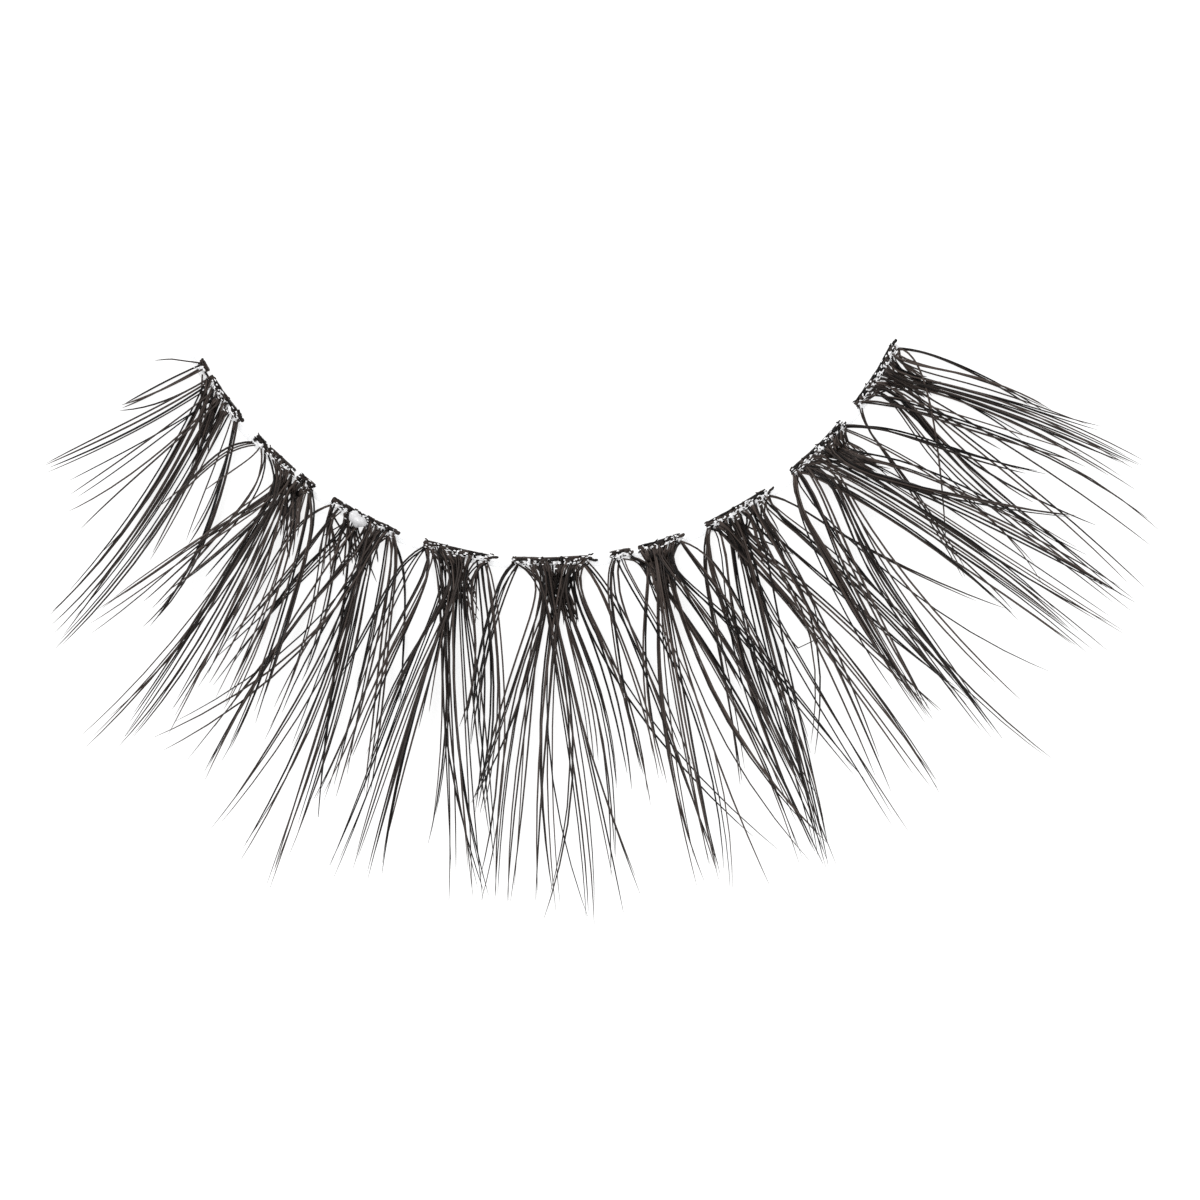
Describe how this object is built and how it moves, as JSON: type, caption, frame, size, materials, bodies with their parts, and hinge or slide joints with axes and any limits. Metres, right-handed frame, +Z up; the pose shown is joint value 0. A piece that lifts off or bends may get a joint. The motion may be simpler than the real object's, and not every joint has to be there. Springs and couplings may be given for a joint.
{
  "type": "false eyelash strip",
  "caption": "Strip of false eyelashes: fans of curled dark lashes knotted on a clear curved band, short at the inner corner and long at the outer.",
  "frame": {"origin": "on the table, under the middle of the strip's bounding box", "axes": "+X to the outer corner of the eye, -Y the way the lashes point from the band, +Z up from the table, the way the lashes curl"},
  "size_m": [0.0438, 0.0226, 0.0061],
  "materials": {
    "clear_band": "clear, glossy",
    "glue": "clear dried glue, glossy",
    "lash_fibre": "brown-black synthetic fibre, satin"
  },
  "bodies": {
    "root": {"clear_band": "clear_band", "glue_drop": "glue", "lash_fan_1": "lash_fibre", "lash_fan_2": "lash_fibre", "lash_fan_3": "lash_fibre", "lash_fan_4": "lash_fibre", "lash_fan_5": "lash_fibre", "lash_fan_6": "lash_fibre", "lash_fan_7": "lash_fibre", "lash_fan_8": "lash_fibre", "lash_fan_9": "lash_fibre"}
  },
  "joints": []
}
